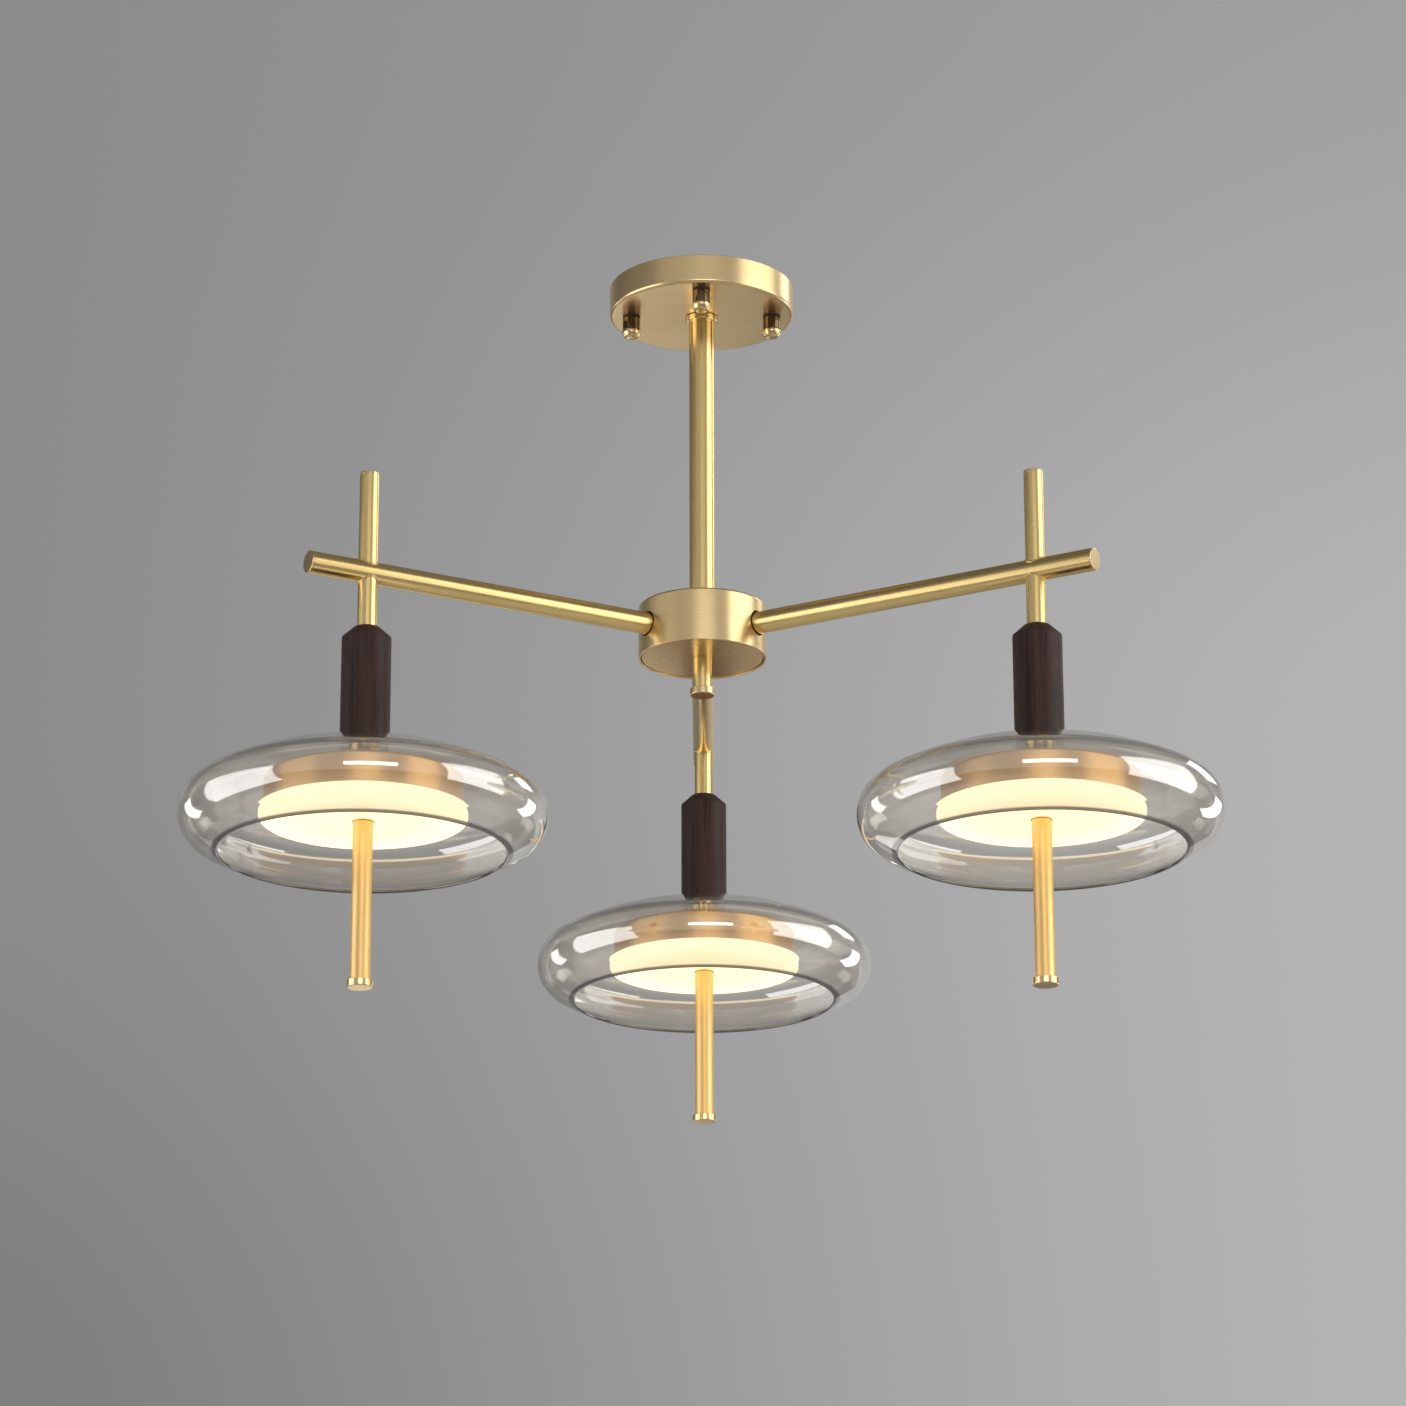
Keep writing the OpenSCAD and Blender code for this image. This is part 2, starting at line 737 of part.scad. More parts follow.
// Blown shade: a crown and a belly of one radius, joined by a rounder bead, with a fire-polished
// mouth that ends the belly, or ends the bead where the mouth is wider than the belly
module shade(az) {
    joint_trim = 10;
    lip_trim = 30;
    bead_from = bead_turn - joint_trim;
    bead_to = mouth_on_belly ? -bead_from : -mouth_turn;
    inner_r = crown_r - glass_wall;
    lip_r = glass_wall / 2;
    lip_swing = (mouth_on_belly ? crown_r : shade_bead_r) - lip_r;
    lip_from = mouth_on_belly ? [0, crown_c] : [bead_c, 0];
    lip = lip_from + lip_swing * [cos(mouth_turn), -sin(mouth_turn)];
    outer_belly = mouth_on_belly ? arc(0, crown_c, crown_r, -bead_turn, -mouth_turn, 4) : [];
    inner_belly = mouth_on_belly ? arc(0, crown_c, inner_r, -mouth_turn, -bead_turn, 4) : [];
    section = concat(
        [[0, seat_h]],
        arc(0, -crown_c, crown_r, acos(seat_r / crown_r), bead_turn, 10),
        arc(bead_c, 0, shade_bead_r, bead_from, bead_to, 14),
        outer_belly,
        arc(lip.x, lip.y, lip_r, 360 - lip_trim - mouth_turn, 180 + lip_trim - mouth_turn, 4),
        inner_belly,
        arc(bead_c, 0, shade_bead_r - glass_wall, bead_to, bead_from, 14),
        arc(0, -crown_c, inner_r, bead_turn, acos(seat_r / inner_r), 10),
        [[0, seat_in_h]]
    );
    color(smoked) at_lamp(az) difference() {
        translate([0, 0, equator]) rotate_extrude() polygon(section);
        column(nipple_hole_r, glass_inner_top - eps, shade_top + eps);
    }
}

module shade_gaskets() {
    color(rubber) at_lamps() {
        ring(gasket_r, nipple_hole_r, shade_top, handle_low);
        ring(spacer_flange_r, nipple_hole_r, spacer_top, glass_inner_top);
    }
}

// Flanged spacers between the glass and the pan
module shade_spacers() {
    color(brass) at_lamps() difference() {
        union() {
            column(spacer_flange_r, spacer_top - spacer_flange_t, spacer_top);
            column(rod_r, pan_top, spacer_top);
        }
        column(nipple_r, pan_top - eps, spacer_top + eps);
    }
}

module pan(az) {
    color(brass) at_lamp(az) difference() {
        rotate_extrude() polygon(cup_section(pan_r, pan_top, pan_low, pan_wall, pan_edge_r));
        column(nipple_hole_r, pan_ceiling - eps, pan_top + eps);
    }
}

module pan_lock_nuts() {
    color(steel) at_lamps() hex_nut(nut_flats, nipple_r, pan_ceiling - nut_t, pan_ceiling);
}

module led_boards() {
    color("whitesmoke") at_lamps() ring(board_d / 2, board_hole_r, board_low, pan_ceiling);
}

module leds() {
    color("khaki") at_lamps() for (i = [0:led_count - 1]) rotate([0, 0, 360 * i / led_count])
        translate([led_ring_r, -led_size.y / 2, board_low - led_size.z]) cube(led_size);
}

// Opal diffuser: a disc with a round lower edge and a ring that fits inside the pan
module diffuser(az) {
    ring_r = pan_r - pan_wall - diffuser_ring_gap;
    ring_in = ring_r - diffuser_ring_w;
    ring_top = pan_low + diffuser_ring_h;
    section = concat(
        [[0, pan_low], [ring_in, pan_low], [ring_in, ring_top]],
        [[ring_r, ring_top], [ring_r, pan_low], [diffuser_r, pan_low]],
        arc(diffuser_r - diffuser_edge_r, diffuser_low + diffuser_edge_r, diffuser_edge_r, 0, -90, 9),
        [[0, diffuser_low]]
    );
    color(opal) at_lamp(az) difference() {
        rotate_extrude() polygon(section);
        column(nipple_hole_r, diffuser_low - eps, pan_low + eps);
    }
}

module lower_rod(az) {
    color(brass) at_lamp(az) capped_rod(lower_rod_low, lower_rod_top, lower_rod_top - nipple_low);
}

module rod_ferrules() {
    color(dark_brass) at_lamps() ring(rod_r + ferrule_lip, nipple_r, lower_rod_top, diffuser_low);
}

module lower_caps() {
    color(brass) at_lamps() translate([0, 0, lower_rod_low]) end_cap();
}

// A pair of wires for each lamp, from the stem through the hub, arm, rod and handle to the board
module lamp_wires() {
    board_x = lamp_circle_r - board_hole_r - wire_d;
    route = [
        [wire_lane, stem_top], [wire_lane, -arm_drop], [lamp_circle_r, -arm_drop],
        [lamp_circle_r, pan_exit], [board_x, pan_exit], [board_x, board_low]
    ];
    color("tomato") for (az = lamp_azimuths, side = [-1, 1])
        rotate([0, 0, az]) wire(route, side * wire_pair);
}

ceiling_bracket();
canopy_studs();
stud_lock_nuts();
canopy();
canopy_washers();
canopy_cap_nuts();
canopy_inner_plate();
swivel_bushing();
stop_pin();
led_driver();
terminal_block();
mounting_pads();
ground_screw();
canopy_wires();
stem();
stem_nut();
stem_collar();
collar_grub_screw();
stem_plug();
centre_nipple();
hub_shell();
arm_block();
arm_grub_screws();
hub_lock_washer();
hub_lock_nut();
hub_cover();
finial_rod();
finial_cap();
arm(left_az);  // left_arm
arm(right_az);  // right_arm
arm(back_az);  // back_arm
arm_end_plugs();
lamp_rod(left_az);  // left_lamp_rod
lamp_rod(right_az);  // right_lamp_rod
lamp_rod(back_az);  // back_lamp_rod
rod_top_plugs();
handle(left_az);  // left_handle
handle(right_az);  // right_handle
handle(back_az);  // back_handle
handle_nipples();
shade(left_az);  // left_shade
shade(right_az);  // right_shade
shade(back_az);  // back_shade
shade_gaskets();
shade_spacers();
pan(left_az);  // left_pan
pan(right_az);  // right_pan
pan(back_az);  // back_pan
pan_lock_nuts();
led_boards();
leds();
diffuser(left_az);  // left_diffuser
diffuser(right_az);  // right_diffuser
diffuser(back_az);  // back_diffuser
lower_rod(left_az);  // left_lower_rod
lower_rod(right_az);  // right_lower_rod
lower_rod(back_az);  // back_lower_rod
rod_ferrules();
lower_caps();
lamp_wires();
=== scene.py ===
# Three-arm chandelier: satin brass, walnut handles, smoke-tinted glass shades and lit heads
import json
import math
import bpy
import numpy as np
from mathutils import Matrix, Vector


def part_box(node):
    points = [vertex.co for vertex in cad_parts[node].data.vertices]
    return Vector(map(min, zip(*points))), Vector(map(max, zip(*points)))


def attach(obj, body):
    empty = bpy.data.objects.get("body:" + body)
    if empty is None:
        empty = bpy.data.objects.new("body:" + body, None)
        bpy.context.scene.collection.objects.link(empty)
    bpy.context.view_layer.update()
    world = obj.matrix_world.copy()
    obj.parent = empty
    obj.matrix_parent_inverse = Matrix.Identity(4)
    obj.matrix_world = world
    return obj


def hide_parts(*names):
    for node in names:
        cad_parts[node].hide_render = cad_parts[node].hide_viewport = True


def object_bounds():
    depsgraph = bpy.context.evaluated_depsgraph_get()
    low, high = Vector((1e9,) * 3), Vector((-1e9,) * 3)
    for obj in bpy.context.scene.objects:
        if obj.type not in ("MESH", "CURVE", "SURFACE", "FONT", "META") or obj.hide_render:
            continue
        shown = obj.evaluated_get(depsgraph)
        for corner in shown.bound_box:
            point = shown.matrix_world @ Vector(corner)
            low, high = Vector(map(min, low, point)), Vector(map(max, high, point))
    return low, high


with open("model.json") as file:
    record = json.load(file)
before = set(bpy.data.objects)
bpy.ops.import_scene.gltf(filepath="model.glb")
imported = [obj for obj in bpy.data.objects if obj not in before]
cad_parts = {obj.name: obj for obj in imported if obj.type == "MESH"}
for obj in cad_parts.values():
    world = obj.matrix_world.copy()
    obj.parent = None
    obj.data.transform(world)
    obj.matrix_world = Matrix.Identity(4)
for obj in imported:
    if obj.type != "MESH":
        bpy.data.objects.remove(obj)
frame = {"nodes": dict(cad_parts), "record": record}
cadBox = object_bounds()
nodes = frame["nodes"]
mm = 0.001
lampNames = ("left", "right", "back")
print("frame loaded:", len(nodes), "nodes")


class Wire:
    # one output socket; + - * and ** on it add Math nodes
    def __init__(self, maker, socket):
        self.maker = maker
        self.socket = socket

    def maths(self, operation, first, second):
        return self.maker.out(self.maker.node("ShaderNodeMath", {"operation": operation}, {0: first, 1: second}))

    def __add__(self, other): return self.maths("ADD", self, other)
    def __radd__(self, other): return self.maths("ADD", other, self)
    def __sub__(self, other): return self.maths("SUBTRACT", self, other)
    def __rsub__(self, other): return self.maths("SUBTRACT", other, self)
    def __mul__(self, other): return self.maths("MULTIPLY", self, other)
    def __rmul__(self, other): return self.maths("MULTIPLY", other, self)
    def __pow__(self, other): return self.maths("POWER", self, other)
    def __rpow__(self, other): return self.maths("POWER", other, self)

    def atLeast(self, low):
        return self.maths("MAXIMUM", self, low)

    def clip(self, low=0.0, high=1.0):
        return self.maths("MINIMUM", self.atLeast(low), high)

    def step(self, low, high, start=0.0, end=1.0):  # smooth from start to end between low and high
        return self.maker.out(self.maker.node(
            "ShaderNodeMapRange", {"interpolation_type": "SMOOTHSTEP"},
            {"Value": self, "From Min": low, "From Max": high, "To Min": start, "To Max": end}))


class NodeMaker:
    # makes and links the nodes of one tree, a material's or the room's
    def __init__(self, tree):
        self.tree = tree
        tree.nodes.clear()

    def connect(self, socket, value):  # links a wire or socket, sets anything else
        source = value.socket if isinstance(value, Wire) else value
        if isinstance(source, bpy.types.NodeSocket):
            self.tree.links.new(source, socket)
        else:
            socket.default_value = source

    def node(self, kind, settings, values):
        made = self.tree.nodes.new(kind)
        for key, value in settings.items():
            setattr(made, key, value)
        for key, value in values.items():
            self.connect(made.inputs[key.replace("_", " ") if isinstance(key, str) else key], value)
        return made

    def out(self, made, key=0):
        return Wire(self, made.outputs[key])

    def split(self, place):
        made = self.node("ShaderNodeSeparateXYZ", {}, {0: place})
        return self.out(made, 0), self.out(made, 1), self.out(made, 2)

    def objectPlace(self):
        return self.out(self.node("ShaderNodeTexCoord", {}, {}), "Object")


class Paint(NodeMaker):
    # one material under construction
    def __init__(self, name, **fixed):
        self.material = bpy.data.materials.new(name)
        self.material.use_nodes = True
        super().__init__(self.material.node_tree)
        self.shader = self.node("ShaderNodeBsdfPrincipled", {}, fixed)
        self.output = self.node("ShaderNodeOutputMaterial", {}, {"Surface": self.shader.outputs[0]})

    def feed(self, **inputs):  # link wires to inputs of the shader
        for key, value in inputs.items():
            self.connect(self.shader.inputs[key.replace("_", " ")], value)

    def localPlace(self):  # a turned piece's own coordinates, its axis along z
        return self.out(self.node("ShaderNodeAttribute", {"attribute_name": "local"}, {}), "Vector")

    def stretch(self, place, scale):
        return self.out(self.node("ShaderNodeVectorMath", {"operation": "MULTIPLY"}, {0: place, 1: scale}))

    def join(self, x, y, z):
        return self.out(self.node("ShaderNodeCombineXYZ", {}, {0: x, 1: y, 2: z}))

    def noise(self, place, scale, detail=3.0, roughness=0.55, distortion=0.0):
        made = self.node("ShaderNodeTexNoise", {}, {"Vector": place, "Scale": scale, "Detail": detail,
                                                    "Roughness": roughness, "Distortion": distortion})
        return self.out(made, "Fac" if "Fac" in made.outputs else 0)

    def blend(self, factor, first, second):  # colour between two colours
        made = self.node("ShaderNodeMix", {"data_type": "RGBA"}, {0: factor, 6: first, 7: second})
        return self.out(made, 2)

    def bump(self, height, strength, distance):
        made = self.node("ShaderNodeBump", {}, {"Height": height, "Strength": strength, "Distance": distance})
        self.feed(Normal=self.out(made))


brassLook = {
    "pale": (0.92, 0.70, 0.38, 1), "deep": (0.83, 0.60, 0.29, 1), "tarnish": (0.50, 0.33, 0.14, 1),
    "roughness": 0.28, "streakRoughness": 0.10, "streaks": 6400.0, "bump": 0.12, "bumpDistance": 0.00002,
}
turnedLook = {**brassLook, "roughness": 0.22}
rawLook = {**brassLook, "pale": (0.74, 0.53, 0.26, 1)}
tubeLook = {**brassLook, "pale": (0.92, 0.70, 0.32, 1), "deep": (0.83, 0.59, 0.23, 1), "roughness": 0.25,
            "streaks": 2600.0, "bump": 0.04}
# lower rods: a rougher copy of tube brass whose warmer, more orange colour is painted glow, the light of the diffuser
# above painted into it
paintedGlowRodLook = {**tubeLook, "pale": (0.94, 0.64, 0.27, 1), "deep": (0.90, 0.57, 0.21, 1), "roughness": 0.44,
            "bump": 0.02}
# LED pans: a deeper, more orange copy of brass, painted glow standing for the warm light of the diffuser
paintedGlowPanLook = {**brassLook, "pale": (0.88, 0.54, 0.20, 1), "deep": (0.78, 0.45, 0.14, 1), "roughness": 0.32}
# cap nut shanks: polished brass painted near black, a painted dark reflection
paintedDarkReflectionLook = {**brassLook, "pale": (0.20, 0.14, 0.075, 1), "deep": (0.12, 0.08, 0.045, 1), "roughness": 0.14,
            "bump": 0.05}


def brass(name, grain, look, ownPlace=True):
    # satin brass; grain "along" runs with local z, "around" runs about the turning axis
    paint = Paint(name, Metallic=1.0, IOR=1.45)
    place = paint.localPlace() if ownPlace else paint.objectPlace()
    cloud = paint.noise(place, 14.0, 3.0)
    if grain == "along":
        streakPlace = paint.stretch(place, (1.0, 1.0, 0.002))
    else:
        x, y, z = paint.split(place)
        radius = (x * x + y * y) ** 0.5
        streakPlace = paint.join(radius, z, (x + y) * 0.002)
    streak = paint.noise(streakPlace, look["streaks"], 2.0, 0.7)
    fleck = paint.noise(place, 420.0, 2.0, 0.6).step(0.64, 0.78)
    mask = (streak - 0.5) * 0.5 + (cloud - 0.5) * 0.9 + 0.42
    gold = paint.blend(mask.clip(), look["pale"], look["deep"])
    paint.feed(Base_Color=paint.blend(fleck * 0.2, gold, look["tarnish"]),
               Roughness=(look["roughness"] + (streak - 0.5) * look["streakRoughness"]
                          + (cloud - 0.5) * 0.08 + fleck * 0.05).clip(0.08, 0.8))
    paint.bump(streak, look["bump"], look["bumpDistance"])
    return paint.material


walnutLook = {
    "dark": (0.017, 0.0075, 0.006, 1), "light": (0.088, 0.038, 0.027, 1), "pore": (0.008, 0.004, 0.003, 1),
    "roughness": 0.46, "oil": 0.14, "bump": 0.3, "bumpDistance": 0.00012,
}


def walnut(name, look=walnutLook):
    # dark oiled walnut with grain along local z
    paint = Paint(name, IOR=1.45, Specular_IOR_Level=0.22, Coat_Roughness=0.35)
    place = paint.localPlace()
    figure = paint.noise(paint.stretch(place, (1.0, 1.0, 0.10)), 70.0, 4.0, 0.6, 1.2)
    grain = paint.noise(paint.stretch(place, (1.0, 1.0, 0.03)), 620.0, 3.0, 0.65)
    pore = paint.noise(paint.stretch(place, (1.0, 1.0, 0.045)), 1500.0, 2.0, 0.6).step(0.60, 0.72)
    mask = ((figure - 0.5) * 2.2 + (grain - 0.5) * 1.3 + 0.42).clip()
    wood = paint.blend(mask, look["dark"], look["light"])
    paint.feed(Base_Color=paint.blend(pore * 0.75, wood, look["pore"]),
               Roughness=(look["roughness"] + (grain - 0.5) * 0.25 + pore * 0.25).clip(0.2, 0.9),
               Coat_Weight=(look["oil"] - pore * 0.12).clip())
    paint.bump(grain * 0.5 - pore, look["bump"], look["bumpDistance"])
    return paint.material


# the "lip" colour is near black: painted shade on a thin band of glass at the mouth
glassLook = {
    "tint": (1.0, 0.985, 0.95, 1), "tintLow": (0.99, 0.965, 0.92, 1), "lip": (0.03, 0.027, 0.02, 1),
    "lipShadeHeight": 0.0013, "bodyColour": (0.46, 0.36, 0.08, 1), "bodyDensity": 14.0,
    "shadow": (0.88, 0.84, 0.77, 1),
}


def smokedGlass(name, look=glassLook):
    # clear blown glass: the tint of its body deepens with the length of glass looked through; a thin band at the lip
    # is painted near black as painted shade
    paint = Paint(name, Transmission_Weight=0.955, IOR=1.5, Coat_Weight=1.0, Coat_IOR=2.25, Coat_Roughness=0.03)
    place = paint.localPlace()
    wave = paint.noise(place, 9.0, 2.0, 0.5)
    smear = paint.noise(paint.stretch(place, (1.0, 1.0, 2.5)), 26.0, 4.0, 0.6).step(0.55, 0.8)
    z = paint.split(place)[2]
    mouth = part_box("left_shade")[0].z
    # the band at the mouth is painted near black: painted shade
    clearAbovePaintedShade = z.step(mouth + look["lipShadeHeight"] * 0.7, mouth + look["lipShadeHeight"] * 1.3)
    clearTint = paint.blend(wave, look["tint"], look["tintLow"])
    paint.feed(Base_Color=paint.blend(clearAbovePaintedShade, look["lip"], clearTint),
               Roughness=(0.004 + smear * 0.02))
    paint.bump(wave, 0.25, 0.0015)
    body = paint.node("ShaderNodeVolumeAbsorption", {},
                      {"Color": look["bodyColour"], "Density": look["bodyDensity"]})
    ray = paint.node("ShaderNodeLightPath", {}, {})
    clear = paint.node("ShaderNodeBsdfTransparent", {}, {"Color": look["shadow"]})
    mixed = paint.node("ShaderNodeMixShader", {}, {0: ray.outputs["Is Shadow Ray"],
                                                   1: paint.shader.outputs[0], 2: clear.outputs[0]})
    paint.connect(paint.output.inputs["Surface"], mixed.outputs[0])
    paint.connect(paint.output.inputs["Volume"], body.outputs[0])
    return paint.material


opalLook = {
    "glow": 1.65, "middle": (0.80, 0.655, 0.37, 1), "rim": (1.0, 0.84, 0.51, 1), "rimFrom": 0.030, "rimTo": 0.063,
    "body": (0.34, 0.31, 0.25, 1), "bodyDeep": (0.30, 0.27, 0.21, 1), "roughness": 0.35,
}


def opal(name, look=opalLook):
    # opal acrylic lit from within, a little brighter towards its edge
    paint = Paint(name, IOR=1.49, Emission_Strength=look["glow"])
    place = paint.localPlace()
    x, y = paint.split(place)[:2]
    edge = ((x * x + y * y) ** 0.5).step(look["rimFrom"], look["rimTo"])
    mottle = paint.noise(place, 60.0, 3.0, 0.5)
    paint.feed(Base_Color=paint.blend(mottle, look["body"], look["bodyDeep"]),
               Emission_Color=paint.blend((edge * 0.8 + (mottle - 0.5) * 0.15).clip(), look["middle"], look["rim"]),
               Roughness=look["roughness"] + (mottle - 0.5) * 0.1)
    return paint.material


def moulded(name, colour, roughness, metallic=0.0, speck=260.0):
    # plain plastics, rubber and plated steel: slight mottling, fine texture
    paint = Paint(name, Metallic=metallic)
    place = paint.objectPlace()
    mottle = paint.noise(place, 45.0, 3.0)
    fine = paint.noise(place, speck * 8.0, 2.0, 0.6)
    shade = tuple(value * 0.72 for value in colour)
    paint.feed(Base_Color=paint.blend(mottle, (*colour, 1), (*shade, 1)),
               Roughness=(roughness + (fine - 0.5) * 0.2 + (mottle - 0.5) * 0.1).clip(0.08, 1.0))
    paint.bump(fine, 0.25, 0.00008)
    return paint.material


materials = {
    "tube_brass": brass("tubeBrass", "along", tubeLook),
    "spun_brass": brass("spunBrass", "around", brassLook),
    "turned_brass": brass("turnedBrass", "around", turnedLook),
    "raw_brass": brass("rawBrass", "around", rawLook, False),
    "walnut": walnut("walnut"),
    "smoked_glass": smokedGlass("smokedGlass"),
    "opal_diffuser": opal("opalDiffuser"),
    "steel": moulded("zincSteel", (0.56, 0.56, 0.57), 0.38, 1.0),
    "black_fibre": moulded("blackFibre", (0.018, 0.017, 0.016), 0.75),
    "nylon": moulded("nylon", (0.80, 0.77, 0.68), 0.5),
    "driver_case": moulded("driverCase", (0.82, 0.82, 0.80), 0.45),
    "foam_pad": moulded("foamPad", (0.20, 0.20, 0.20), 0.9),
    "green_screw": moulded("greenScrew", (0.05, 0.30, 0.10), 0.35, 0.8),
    "wire_insulation": moulded("wireSleeve", (0.55, 0.09, 0.06), 0.5),
    "silicone": moulded("silicone", (0.08, 0.08, 0.08), 0.6),
    "white_board": moulded("whiteBoard", (0.85, 0.85, 0.83), 0.4),
    "led_phosphor": moulded("ledPhosphor", (0.92, 0.78, 0.30), 0.35),
    "dark_brass": brass("paintedDarkReflection", "around", paintedDarkReflectionLook),
    "painted_glow_rod_brass": brass("paintedGlowRodBrass", "along", paintedGlowRodLook),
    "painted_glow_pan_brass": brass("paintedGlowPanBrass", "around", paintedGlowPanLook),
}
for part in frame["record"]["subparts"]:
    partMesh = nodes[part["node"]].data
    partMesh.materials.clear()
    partMesh.materials.append(materials[part["material_slot"]])
bodyOf = {node: body for body, members in frame["record"]["behaviour"]["bodies"].items() for node in members}
print("materials made:", len(materials))


def roundedProfile(corners, closed=False, steps=6):
    # (radius, height, fillet) corners joined by straight lines; the arc at a corner starts and ends its fillet
    # over the tangent of half the corner's angle away, and is the cubic Bezier curve that follows a circle;
    # gives the points and the direction of travel at each
    corner = np.array([c[:2] for c in corners], float)
    fillet = np.array([c[2] for c in corners], float)
    before = np.roll(corner, 1, axis=0) - corner
    after = np.roll(corner, -1, axis=0) - corner
    if not closed:
        before[0], after[-1] = -after[0], -before[-1]
    lengthBefore = np.linalg.norm(before, axis=1, keepdims=True)
    lengthAfter = np.linalg.norm(after, axis=1, keepdims=True)
    before, after = before / lengthBefore, after / lengthAfter
    half = np.arccos(np.clip((before * after).sum(1), -1, 1)) / 2
    longest = 0.49 * np.minimum(lengthBefore, lengthAfter)[:, 0]
    reach = np.minimum(fillet / np.maximum(np.tan(half), 1e-6), longest)
    start = corner + before * reach[:, None]
    end = corner + after * reach[:, None]
    curve = 4 / 3 * np.tan((np.pi / 2 - half) / 2)  # Bezier handle of a circular arc
    handle = (curve * np.tan(half))[:, None]
    firstHandle = start + (corner - start) * handle
    secondHandle = end + (corner - end) * handle
    t = np.linspace(0, 1, steps)[None, :, None]
    a, b, c, d = (v[:, None, :] for v in (start, firstHandle, secondHandle, end))
    points = (1 - t) ** 3 * a + 3 * t * (1 - t) ** 2 * b + 3 * t * t * (1 - t) * c + t ** 3 * d
    turn = -before[:, None, :] * (1 - t) + after[:, None, :] * t
    keep = np.ones((len(corner), steps), bool)
    keep[reach < 1e-9, 1:] = False
    return points[keep], turn[keep]


def arcPoints(cx, cz, radius, start, end, steps, skip=0):
    # part of a circle: centre plus radius times (cosine, sine) of an angle that runs from start to end,
    # with the direction of travel at each point
    angle = np.linspace(start, end, steps + 1)[skip:]
    points = np.stack([cx + radius * np.cos(angle), cz + radius * np.sin(angle)], 1)
    travel = np.stack([-np.sin(angle), np.cos(angle)], 1) * np.sign(end - start)
    return points, travel


def gridQuads(rows, steps, count):
    # the four corners of each cell of a grid of count rows, whose steps join up and whose last row may too
    i = np.arange(rows)[:, None]
    k = np.arange(steps)[None, :]
    nextRow, nextStep = (i + 1) % count, (k + 1) % steps
    return np.stack([i * steps + k, i * steps + nextStep, nextRow * steps + nextStep, nextRow * steps + k],
                    -1).reshape(-1, 4)


def turnedGrid(profile, travel, segments, closed):
    # profile point (r, z) swung round the z axis by each angle: (r times cosine, r times sine, z),
    # with normals square to the travel; ends on the axis become poles
    angle = np.arange(segments) * 2 * np.pi / segments
    count = len(profile)
    radius, height = profile[:, :1], profile[:, 1:]
    local = np.stack([radius * np.cos(angle), radius * np.sin(angle),
                      np.broadcast_to(height, (count, segments))], -1).reshape(-1, 3)
    outR, outZ = travel[:, 1:], -travel[:, :1]
    normal = np.stack([outR * np.cos(angle), outR * np.sin(angle),
                       np.broadcast_to(outZ, (count, segments))], -1).reshape(-1, 3)
    normal /= np.linalg.norm(normal, axis=1, keepdims=True)
    return local, normal, gridQuads(count if closed else count - 1, segments, count)


def meshPiece(name, local, normal, quads, place, material):
    # puts the grid in its place, closes its poles, and keeps its own coordinates as "local"
    flat = np.abs(local[:, :2]).max(1) < 1e-7
    index = np.arange(len(local))
    for height in np.unique(np.round(local[flat, 2], 7)):
        group = flat & (np.abs(local[:, 2] - height) < 1e-6)
        index[group] = index[group].min()
    used, compact = np.unique(index, return_inverse=True)
    faces = compact[quads]
    local, normal = local[used], normal[used]
    v = local[faces]
    volume = np.einsum("ij,ij->i", v[:, 0], np.cross(v[:, 1] - v[:, 0], v[:, 2] - v[:, 0])).sum() \
        + np.einsum("ij,ij->i", v[:, 0], np.cross(v[:, 2] - v[:, 0], v[:, 3] - v[:, 0])).sum()
    if volume < 0:
        faces = faces[:, ::-1]
    side = np.cross(local[faces[:, 1]] - local[faces[:, 0]], local[faces[:, 2]] - local[faces[:, 0]])
    agreement = np.einsum("ij,ij->i", side, normal[faces[:, 0]] + normal[faces[:, 2]]).sum()
    normal = normal * (1 if agreement > 0 else -1)
    turn = np.array(place.to_3x3())
    world = local @ turn.T + np.array(place.translation)
    repeated = faces == np.roll(faces, 1, axis=1)
    atPole = repeated.any(1)
    triangles = faces[atPole][~repeated[atPole]].reshape(-1, 3)
    mesh = bpy.data.meshes.new(name)
    mesh.from_pydata(world.tolist(), [], faces[~atPole].tolist() + triangles.tolist())
    mesh.attributes.new("local", "FLOAT_VECTOR", "POINT").data.foreach_set("vector", local.ravel())
    mesh.polygons.foreach_set("use_smooth", np.ones(len(mesh.polygons), bool))
    mesh.normals_split_custom_set_from_vertices((normal @ turn.T).tolist())
    mesh.materials.append(material)
    piece = bpy.data.objects.new(name, mesh)
    bpy.context.scene.collection.objects.link(piece)
    return piece


def goWith(piece, node):
    # the piece moves with the node's body
    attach(piece, bodyOf[node])


def standFor(piece, node):
    # the piece moves with the node's body and is shown in its place
    goWith(piece, node)
    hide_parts(node)


def shareNode(pieces, node):
    # several alike pieces stand for the solids of one node
    standFor(pieces[0], node)
    for piece in pieces[1:]:
        goWith(piece, node)


def turned(name, corners, place, finish, closed=False, segments=96, steps=6):
    # a lathe piece from corners given in millimetres
    profile, travel = roundedProfile([(r * mm, z * mm, f * mm) for r, z, f in corners], closed, steps)
    grid = turnedGrid(profile, travel, segments, closed)
    return meshPiece(name, *grid, place, materials[finish])


def roundBar(radius, low, high, lowEdge=0.2, highEdge=0.2):
    # corners of a plain round bar or disc
    return [(0, low, 0), (radius, low, lowEdge), (radius, high, highEdge), (0, high, 0)]


def sizeOf(node):
    # axis of an upright round node in metres, and its radius and heights in millimetres
    low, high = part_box(node)
    return {"x": (low.x + high.x) / 2, "y": (low.y + high.y) / 2, "low": low.z / mm, "high": high.z / mm,
            "radius": min(high.x - low.x, high.y - low.y) / 2 / mm}


def upright(size):
    return Matrix.Translation((size["x"], size["y"], 0))


